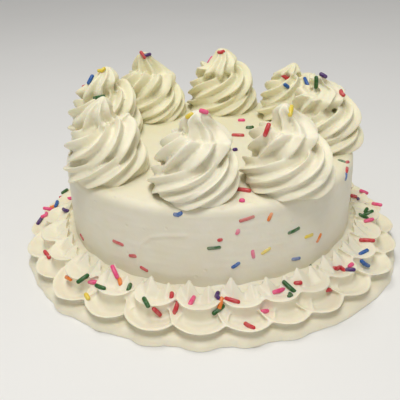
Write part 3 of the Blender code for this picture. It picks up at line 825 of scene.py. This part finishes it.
def add_peak(whole, bearing, along, out, foot, top, radius, chance):
    """A soft point of icing that leans in against the cake's wall."""
    turned = bearing + (along + chance.uniform(-PEAK_UNEVENNESS, PEAK_UNEVENNESS)) * MM / PETAL_REACH
    low = outwards(turned, out * MM, foot * MM)
    tip = outwards(turned, PEAK_LEAN, (top + chance.uniform(-PEAK_UNEVENNESS, PEAK_UNEVENNESS)) * MM)
    rise = tip - low
    along_ring = outwards(turned + TURN / 4, 1.0)
    across = rise.normalized().cross(along_ring)
    form = Matrix((along_ring * PEAK_WIDTH, across * PEAK_DEPTH, rise)).transposed().to_4x4()
    bmesh.ops.create_cone(whole, cap_ends=True, segments=PEAK_SIDES, radius1=radius * MM, radius2=PEAK_TIP,
                          depth=1.0, matrix=Matrix.Translation((low + tip) / 2) @ form)


def make_border():
    chance = np.random.default_rng(SEED)
    petals = all_petals()
    around = np.array([math.radians(bearing) for bearing, _ in petals])
    reaches = np.array([reach for _, reach in petals])
    whole = rolled(ring_of(BANK_SECTION, np.ones_like), ends_meet=True)
    part = bpy.data.meshes.new("loose_part")
    foot = rolled(ring_of(FOOT_SECTION, lambda turned: np.interp(turned, around, reaches, period=TURN)),
                  ends_meet=True)
    foot.to_mesh(part)
    foot.free()
    whole.from_mesh(part)
    for bearing, reach in zip(around, reaches):
        size = 1 + chance.uniform(-PETAL_UNEVENNESS, PETAL_UNEVENNESS)
        petal = rolled(petal_rings(bearing, size, reach))
        petal.to_mesh(part)
        petal.free()
        whole.from_mesh(part)
        for form in PEAKS:
            add_peak(whole, bearing, *form, chance)
    piece = new_piece("melting_border", whole, piped_icing, "border")
    shape = fuse(piece, BORDER_VOXEL, 1)
    uneven(shape, *BORDER_SWELL)
    uneven(shape, *BORDER_RIPPLE)
    cut_level(shape, 0.0)
    bpy.data.objects.remove(piece)
    return shape


def sector_of(face):
    """Which third of the ring a face lies in, counted from the left side."""
    middle = face.calc_center_median()
    turned = math.atan2(middle.x, -middle.y) + TURN / 6
    return int(turned % TURN // (TURN / BORDER_SECTORS))


melted = make_border()
piped_border = []
for number in range(BORDER_SECTORS):
    sector = melted.copy()
    others = [face for face in sector.faces if sector_of(face) != number]
    bmesh.ops.delete(sector, geom=others, context="FACES")
    piece = new_piece(f"piped_border_{number + 1}", sector, piped_icing, "border")
    piece.data.calc_loop_triangles()
    print(piece.name, len(piece.data.loop_triangles), "triangles")
    piped_border.append(piece)
melted.free()

# %% [markdown]
# A sprinkle is a rod with round ends: a sphere whose two halves are moved apart along one axis. Its
# middle ring stays where it is, so moving the two ends sideways bends it. All sprinkles of one
# colour are gathered in one bmesh, and become one piece in the end.

# %% Sprinkles: one rod
SPRINKLE_LENGTH = 6.8 * MM
SPRINKLE_RADIUS = 1.02 * MM
SPRINKLE_STEPS = 10
BENT = 1.0 * MM

gathered = {}


def add_rod(colour, veiled, point, normal, ahead, length, bend):
    """Adds one rod that lies along a direction, with its middle at a point."""
    shape = gathered.setdefault((colour, veiled), bmesh.new())
    ball = bmesh.ops.create_uvsphere(shape, u_segments=SPRINKLE_STEPS, v_segments=SPRINKLE_STEPS - 2,
                                     radius=SPRINKLE_RADIUS)
    half = length / 2 - SPRINKLE_RADIUS
    side = normal.cross(ahead).normalized()
    axes = Matrix((side, normal, side.cross(normal))).transposed()
    for vert in ball["verts"]:
        end = (vert.co.z > 1e-6) - (vert.co.z < -1e-6)
        vert.co.z += end * half
        vert.co.x += abs(end) * bend
        vert.co = point + axes @ vert.co


print(f"rods {SPRINKLE_LENGTH * 1000:.1f} mm long and {2 * SPRINKLE_RADIUS * 1000:.1f} mm thick")

# %% [markdown]
# The sprinkles that show are laid where the photograph shows them. Each row names a colour, the
# pixel of its middle, its slant in the picture in degrees from level, anticlockwise, and its length
# as a share of the usual. A line of sight through that pixel is followed until it meets icing, and
# the sprinkle's middle is sunk a little into the surface there. Its ends may stand clear of it.

# %% Sprinkles: where they are seen
ON_THE_ICING = (
    # on the swirls
    ("red", 143, 55, -55, 0.8), ("purple", 147, 55, 15, 0.7), ("yellow", 102, 71, 20, 0.7),
    ("blue", 91, 80, 62, 0.9), ("green", 99.5, 97, 12, 1.0), ("yellow", 190, 116, 30, 0.6),
    ("pink", 203.5, 112, -15, 0.6), ("red", 221, 52.5, 10, 0.7), ("red", 267, 130, 70, 0.9),
    ("yellow", 290, 111, 80, 0.8), ("red", 286, 78, -28, 1.0), ("blue", 286, 85.5, -35, 0.6),
    ("blue", 306.5, 82, -66, 1.0), ("green", 316, 82, 88, 1.0), ("purple", 323, 76, -30, 0.6),
    # on the top between them
    ("red", 238, 136, -2, 1.0), ("green", 250, 128.5, 5, 0.7), ("pink", 241.5, 121, 0, 0.6),
    ("purple", 235, 150.5, 10, 0.4), ("red", 244, 191, -8, 0.9), ("pink", 242, 201.5, 0, 0.4),
    # on the border, from the left round the front to the right
    ("green", 65, 192, 35, 0.9), ("orange", 54, 207, 20, 0.8), ("pink", 48, 209.5, -10, 0.9),
    ("pink", 46, 216, 40, 0.9), ("purple", 40, 221, 55, 1.0),
    ("red", 47, 255, -55, 0.9), ("orange", 69.5, 278, -25, 0.9), ("green", 83, 279, 35, 1.0),
    ("pink", 93.5, 282, -5, 0.8), ("green", 100, 288, -20, 0.9), ("yellow", 87, 297, -60, 0.6),
    ("pink", 115, 272, -65, 1.0), ("orange", 120.5, 282, -75, 0.7), ("green", 129.5, 288, 70, 0.7),
    ("green", 146, 303, -62, 0.9), ("red", 157, 311, -45, 0.9), ("red", 172, 296, 85, 0.6),
    ("red", 176, 309, 68, 1.15), ("pink", 191, 302, 62, 1.0), ("purple", 217, 297, -80, 0.8),
    ("orange", 220, 303, 75, 0.8), ("green", 219, 309, 38, 1.2), ("red", 232, 301, -15, 1.0),
    ("pink", 264, 312, 5, 0.8), ("red", 249, 327, -28, 1.0), ("pink", 279, 291, 18, 1.15),
    ("green", 289, 287, -42, 1.1), ("green", 291, 296, 70, 0.5), ("red", 298, 283.5, 5, 0.6),
    ("red", 328, 289, 5, 0.8), ("red", 336.5, 269, 10, 0.8), ("red", 343, 270, -40, 0.8),
    ("purple", 350.5, 270.5, 0, 0.7), ("pink", 351, 266, 40, 0.5), ("blue", 364, 253, 28, 0.9),
    ("blue", 364, 263.5, -35, 1.15), ("red", 367, 241, -3, 1.1), ("green", 368, 214, 25, 1.0),
    ("green", 363, 217, -25, 0.9), ("green", 366, 211, 60, 0.7), ("pink", 369, 221, 15, 0.8),
    ("pink", 377, 205, -10, 1.0), ("red", 353, 196.5, -12, 0.9),
)
IN_THE_SIDE = (
    ("red", 118, 243, -22, 1.0), ("red", 133, 256, -5, 0.7), ("red", 144, 269, -30, 0.7),
    ("blue", 178, 215, 10, 0.6), ("red", 82, 237, -60, 0.7), ("red", 247, 219, 18, 1.0),
    ("orange", 270, 217, 65, 0.7), ("pink", 238, 232, 70, 0.5), ("green", 294, 231, 25, 0.95),
    ("yellow", 309, 236, 20, 0.8), ("orange", 319, 238, 65, 0.7), ("red", 220, 240, 12, 0.4),
    ("green", 214, 248, 5, 0.9), ("pink", 253, 254, -80, 0.7), ("yellow", 266, 251, 35, 0.8),
    ("blue", 296, 259, 8, 0.8), ("blue", 236, 265.5, 35, 0.7), ("green", 310, 267, 80, 0.5),
    ("green", 342, 161, -20, 0.7), ("red", 349, 152, 70, 0.7), ("red", 347, 162, 20, 0.6),
    ("red", 347, 170, 75, 0.7), ("blue", 346, 177, 80, 0.6),
)
print(len(ON_THE_ICING), "sprinkles on the icing,", len(IN_THE_SIDE), "in its side")

# %% [markdown]
# The camera's matrix turns a pixel into a line of sight. Several lines close together give the
# icing's mean slope there, so that a rod bridges small ridges instead of standing on one. The
# sprinkles in the side lie mostly below the surface, as they were mixed into the icing.

# %% Sprinkles: laid along lines of sight
SUNK_ON_TOP = 0.28
PROUD_IN_THE_SIDE = 0.60 * MM
NEARBY_PIXELS = 1.6
UNEVEN_LENGTH = 0.06
BENT_SELDOM = 8
LEAST_FACING = 0.15

icing_pieces = [smooth_body, *piped_swirls, *piped_border]
bpy.context.view_layer.update()
graph = bpy.context.evaluated_depsgraph_get()
surfaces = [BVHTree.FromObject(piece, graph) for piece in icing_pieces]
wall_only = surfaces[:1]
chance = np.random.default_rng(SEED)


def nearest_hit(start, direction, trees):
    hits = [tree.ray_cast(start, direction) for tree in trees]
    hits = [hit for hit in hits if hit[0] is not None]
    return min(hits, key=lambda hit: hit[3])[:2] if hits else (None, None)


def line_of_sight(x, y):
    across = (x - PICTURE_SIZE / 2) / FOCAL_PIXELS
    up = (PICTURE_SIZE / 2 - y) / FOCAL_PIXELS
    return (camera.matrix_world.to_3x3() @ Vector((across, up, -1))).normalized()


def mean_slope(start, lines, trees, middle):
    """The icing's mean direction round a point, from the lines that meet it nearby."""
    total = Vector()
    for line in lines:
        point, normal = nearest_hit(start, line, trees)
        if point is not None and (point - middle).length < SPRINKLE_LENGTH:
            total += normal
    return total.normalized()


def lay(colour, veiled, start, line, beside, along, length, trees):
    """Lays one rod where a line meets the icing; along is a second line that gives its direction."""
    point, _ = nearest_hit(start, line, trees)
    if point is None:
        print("no icing under", colour)
        return
    normal = mean_slope(start, [line, *beside], trees, point)
    faces_the_line = normal.dot(-line) > LEAST_FACING
    on_plane = start + along * ((point - start).dot(normal) / along.dot(normal))
    ahead = (on_plane - point).normalized() if faces_the_line else normal.orthogonal().normalized()
    depth = PROUD_IN_THE_SIDE - SPRINKLE_RADIUS if veiled else SPRINKLE_RADIUS * (1 - 2 * SUNK_ON_TOP)
    size = SPRINKLE_LENGTH * length * (1 + chance.uniform(-UNEVEN_LENGTH, UNEVEN_LENGTH))
    bend = BENT * float(chance.random() ** BENT_SELDOM)
    add_rod(colour, veiled, point + normal * depth, normal, ahead, size, bend)


eye = camera.matrix_world.translation
for table, veiled, trees in ((ON_THE_ICING, False, surfaces), (IN_THE_SIDE, True, wall_only)):
    for colour, x, y, slant, length in table:
        turned = math.radians(slant)
        near = [line_of_sight(x + NEARBY_PIXELS * math.cos(a), y - NEARBY_PIXELS * math.sin(a))
                for a in (turned, turned + TURN / 4, turned + TURN / 2, turned + 3 * TURN / 4)]
        lay(colour, veiled, eye, line_of_sight(x, y), near, near[0], length, trees)
print("colours so far:", sorted({colour for colour, _ in gathered}))

# %% [markdown]
# The far side gets the same kind of scatter by a rule: even steps round the cake with a random
# shift, which a seeded generator gives, so that the result is the same each time.

# %% Sprinkles: scattered on the far side
FAR_BORDER = 34
FAR_WALL = 18
FAR_SWIRLS = (("back_left", 2), ("back", 2), ("back_right", 1), ("left", 1), ("right", 1))
NEAR_EDGE = math.radians(88)
HIGH_ABOVE = 0.2
BESIDE_THE_LINE = 0.004
FAR_BORDER_OUT = (3, 19)
FAR_WALL_UP = (20, 47)
FAR_SWIRL_OUT = (7, 14)
FAR_SWIRL_TURN = 1.0
FAR_BORDER_LENGTHS = (0.8, 1.1)
FAR_WALL_LENGTHS = (0.6, 1.0)
FAR_SWIRL_LENGTHS = (0.7, 1.0)
MIXED_COLOURS = ("red", "pink", "green", "orange", "blue", "red", "yellow", "purple")


def scatter(colour, veiled, start, line, length, trees):
    turned = chance.uniform(0, TURN)
    one = line.orthogonal().normalized()
    two = line.cross(one)
    beside = [(line + BESIDE_THE_LINE * (one * math.cos(a) + two * math.sin(a))).normalized()
              for a in (turned, turned + TURN / 4, turned + TURN / 2, turned + 3 * TURN / 4)]
    lay(colour, veiled, start, line, beside, beside[0], length, trees)


for number in range(FAR_BORDER):
    share = (number + chance.uniform(0, 1)) / FAR_BORDER
    bearing = NEAR_EDGE + (TURN - 2 * NEAR_EDGE) * share
    above = outwards(bearing, CAKE_RADIUS + chance.uniform(*FAR_BORDER_OUT) * MM, HIGH_ABOVE)
    colour = MIXED_COLOURS[chance.integers(len(MIXED_COLOURS))]
    scatter(colour, False, above, Vector((0, 0, -1)), chance.uniform(*FAR_BORDER_LENGTHS), surfaces)
for number in range(FAR_WALL):
    share = (number + chance.uniform(0, 1)) / FAR_WALL
    bearing = NEAR_EDGE + (TURN - 2 * NEAR_EDGE) * share
    beside = outwards(bearing, 2 * CAKE_RADIUS, chance.uniform(*FAR_WALL_UP) * MM)
    colour = MIXED_COLOURS[chance.integers(len(MIXED_COLOURS))]
    scatter(colour, True, beside, -outwards(bearing, 1.0), chance.uniform(*FAR_WALL_LENGTHS), wall_only)
middles = {swirl[0]: outwards(math.radians(swirl[1]), swirl[2] * MM, HIGH_ABOVE) for swirl in SWIRLS}
for name, count in FAR_SWIRLS:
    for _ in range(count):
        outward = math.atan2(middles[name].x, -middles[name].y)
        away = outward + chance.uniform(-FAR_SWIRL_TURN, FAR_SWIRL_TURN)
        above = middles[name] + outwards(away, chance.uniform(*FAR_SWIRL_OUT) * MM)
        colour = MIXED_COLOURS[chance.integers(len(MIXED_COLOURS))]
        scatter(colour, False, above, Vector((0, 0, -1)), chance.uniform(*FAR_SWIRL_LENGTHS), surfaces)

for (colour, veiled), shape in sorted(gathered.items()):
    name = ("veiled_" if veiled else "sprinkles_") + colour
    material = (veiled_sugar if veiled else open_sugar)[colour]
    rods = new_piece(name, shape, material)
    print(name, len(rods.data.polygons), "faces")
